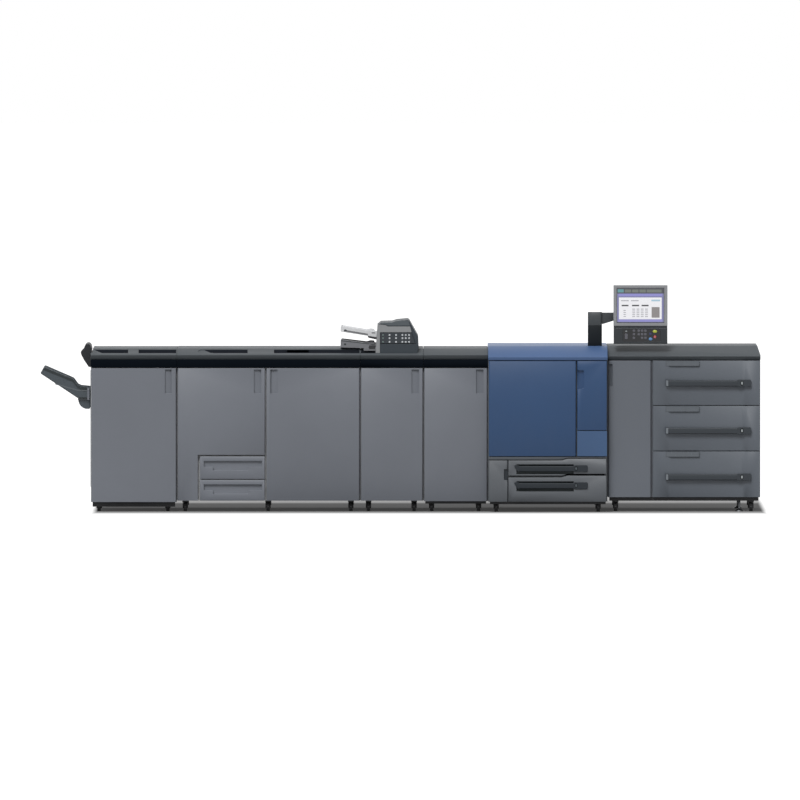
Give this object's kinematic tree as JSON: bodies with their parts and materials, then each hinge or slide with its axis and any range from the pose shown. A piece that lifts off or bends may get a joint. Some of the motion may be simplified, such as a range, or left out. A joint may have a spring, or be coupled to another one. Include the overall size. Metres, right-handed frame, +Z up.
{
  "type": "digital production press",
  "caption": "Digital production press line: print engine with operation panel, paper feed unit, relay, folding, binding and finishing modules on casters.",
  "frame": {"origin": "on the floor, at the middle of the line's length and depth", "axes": "+X along the line from the stack tray to the paper feed unit, +Y from the operator's side to the back, +Z up"},
  "size_m": [5.424, 0.95, 1.705],
  "materials": {
    "door_grey": "fine satin paint",
    "cover_grey": "fine textured moulding",
    "engine_blue": "satin metallic paint",
    "engine_cover_blue": "satin moulding",
    "engine_grey": "fine textured moulding",
    "trim_black": "satin",
    "handle_dark": "fine textured moulding",
    "tray_dark": "ribbed moulding",
    "tray_pale": "smooth moulding",
    "tray_grey": "smooth moulding",
    "panel_dark": "fine textured moulding",
    "bezel_grey": "fine textured moulding",
    "keypad_black": "gloss inset",
    "skirt_black": "matt paint",
    "wheel_rubber": "matt",
    "caster_steel": "satin",
    "foot_steel": "dull zinc",
    "vent_grey": "satin paint"
  },
  "bodies": {
    "line": {"finisher_cabinet": "door_grey", "finisher_top_cover": "cover_grey", "finisher_exit_unit": "trim_black", "tray_rails": "handle_dark", "binder_cabinet": "door_grey", "binder_top_cover": "cover_grey", "folder_cabinet": "door_grey", "folder_top_cover": "cover_grey", "relay_cabinet": "door_grey", "relay_top_cover": "cover_grey", "cover_wells": "trim_black", "trim_bands": "trim_black", "inserter_body": "panel_dark", "inserter_button_panel": "handle_dark", "inserter_upper_tray": "tray_pale", "inserter_lower_tray": "tray_grey", "engine_cabinet": "engine_grey", "engine_top_cover": "engine_cover_blue", "engine_cross_rail": "engine_grey", "engine_lower_panel": "engine_blue", "panel_column": "panel_dark", "feeder_cabinet": "door_grey", "feeder_top_cover": "cover_grey", "rear_vents": "vent_grey", "base_skirts": "skirt_black", "caster_housings": "caster_steel", "caster_wheels": "wheel_rubber", "adjuster_feet": "foot_steel"},
    "finisher_door": {"finisher_door": "door_grey"},
    "binder_left_door": {"binder_left_door": "door_grey"},
    "binder_right_door": {"binder_right_door": "door_grey"},
    "folder_door": {"folder_door": "door_grey"},
    "relay_door": {"relay_door": "door_grey"},
    "engine_left_door": {"engine_left_door": "engine_blue"},
    "engine_right_door": {"engine_right_door": "engine_blue"},
    "engine_small_door": {"engine_small_door": "engine_grey"},
    "feeder_door": {"feeder_door": "door_grey"},
    "binder_upper_drawer": {"binder_upper_drawer": "door_grey"},
    "binder_lower_drawer": {"binder_lower_drawer": "door_grey"},
    "engine_upper_drawer": {"engine_upper_drawer": "engine_grey", "engine_upper_handle": "handle_dark"},
    "engine_lower_drawer": {"engine_lower_drawer": "engine_grey", "engine_lower_handle": "handle_dark"},
    "feeder_top_drawer": {"feeder_top_drawer": "door_grey", "feeder_top_handle": "handle_dark"},
    "feeder_middle_drawer": {"feeder_middle_drawer": "door_grey", "feeder_middle_handle": "handle_dark"},
    "feeder_bottom_drawer": {"feeder_bottom_drawer": "door_grey", "feeder_bottom_handle": "handle_dark"},
    "stack_tray": {"stack_tray": "tray_dark"},
    "panel_arm": {"panel_arm": "panel_dark"},
    "operation_panel": {"screen_housing": "bezel_grey", "panel_keypad": "keypad_black"}
  },
  "joints": [
    {"name": "finisher_door_hinge", "type": "hinge", "parent": "line", "child": "finisher_door", "pos_m": [-2.312, -0.345, 0.6], "axis": [0, 0, -1], "range_deg": [0, 90]},
    {"name": "binder_left_door_hinge", "type": "hinge", "parent": "line", "child": "binder_left_door", "pos_m": [-1.662, -0.345, 0.6], "axis": [0, 0, -1], "range_deg": [0, 90]},
    {"name": "binder_right_door_hinge", "type": "hinge", "parent": "line", "child": "binder_right_door", "pos_m": [-0.322, -0.345, 0.6], "axis": [0, 0, 1], "range_deg": [0, 90]},
    {"name": "folder_door_hinge", "type": "hinge", "parent": "line", "child": "folder_door", "pos_m": [-0.282, -0.345, 0.6], "axis": [0, 0, -1], "range_deg": [0, 90]},
    {"name": "relay_door_hinge", "type": "hinge", "parent": "line", "child": "relay_door", "pos_m": [0.194, -0.345, 0.6], "axis": [0, 0, -1], "range_deg": [0, 90]},
    {"name": "engine_left_door_hinge", "type": "hinge", "parent": "line", "child": "engine_left_door", "pos_m": [0.68, -0.448, 0.6], "axis": [0, 0, -1], "range_deg": [0, 90]},
    {"name": "engine_right_door_hinge", "type": "hinge", "parent": "line", "child": "engine_right_door", "pos_m": [1.54, -0.448, 0.6], "axis": [0, 0, 1], "range_deg": [0, 90]},
    {"name": "engine_small_door_hinge", "type": "hinge", "parent": "line", "child": "engine_small_door", "pos_m": [0.68, -0.448, 0.6], "axis": [0, 0, -1], "range_deg": [0, 90]},
    {"name": "feeder_door_hinge", "type": "hinge", "parent": "line", "child": "feeder_door", "pos_m": [1.872, -0.345, 0.6], "axis": [0, 0, 1], "range_deg": [0, 90]},
    {"name": "binder_upper_drawer_slide", "type": "slide", "parent": "line", "child": "binder_upper_drawer", "axis": [0, -1, 0], "range_m": [0, 0.45]},
    {"name": "binder_lower_drawer_slide", "type": "slide", "parent": "line", "child": "binder_lower_drawer", "axis": [0, -1, 0], "range_m": [0, 0.45]},
    {"name": "engine_upper_drawer_slide", "type": "slide", "parent": "line", "child": "engine_upper_drawer", "axis": [0, -1, 0], "range_m": [0, 0.45]},
    {"name": "engine_lower_drawer_slide", "type": "slide", "parent": "line", "child": "engine_lower_drawer", "axis": [0, -1, 0], "range_m": [0, 0.45]},
    {"name": "feeder_top_drawer_slide", "type": "slide", "parent": "line", "child": "feeder_top_drawer", "axis": [0, -1, 0], "range_m": [0, 0.45]},
    {"name": "feeder_middle_drawer_slide", "type": "slide", "parent": "line", "child": "feeder_middle_drawer", "axis": [0, -1, 0], "range_m": [0, 0.45]},
    {"name": "feeder_bottom_drawer_slide", "type": "slide", "parent": "line", "child": "feeder_bottom_drawer", "axis": [0, -1, 0], "range_m": [0, 0.45]},
    {"name": "stack_tray_lift", "type": "slide", "parent": "line", "child": "stack_tray", "axis": [0, 0, 1], "range_m": [-0.55, 0]},
    {"name": "panel_swivel", "type": "hinge", "parent": "line", "child": "panel_arm", "pos_m": [1.466, -0.2205, 1.4], "axis": [0, 0, 1], "range_deg": [-40, 40]},
    {"name": "screen_tilt", "type": "hinge", "parent": "panel_arm", "child": "operation_panel", "pos_m": [1.7, -0.272, 1.47], "axis": [1, 0, 0], "range_deg": [-25, 5]}
  ]
}
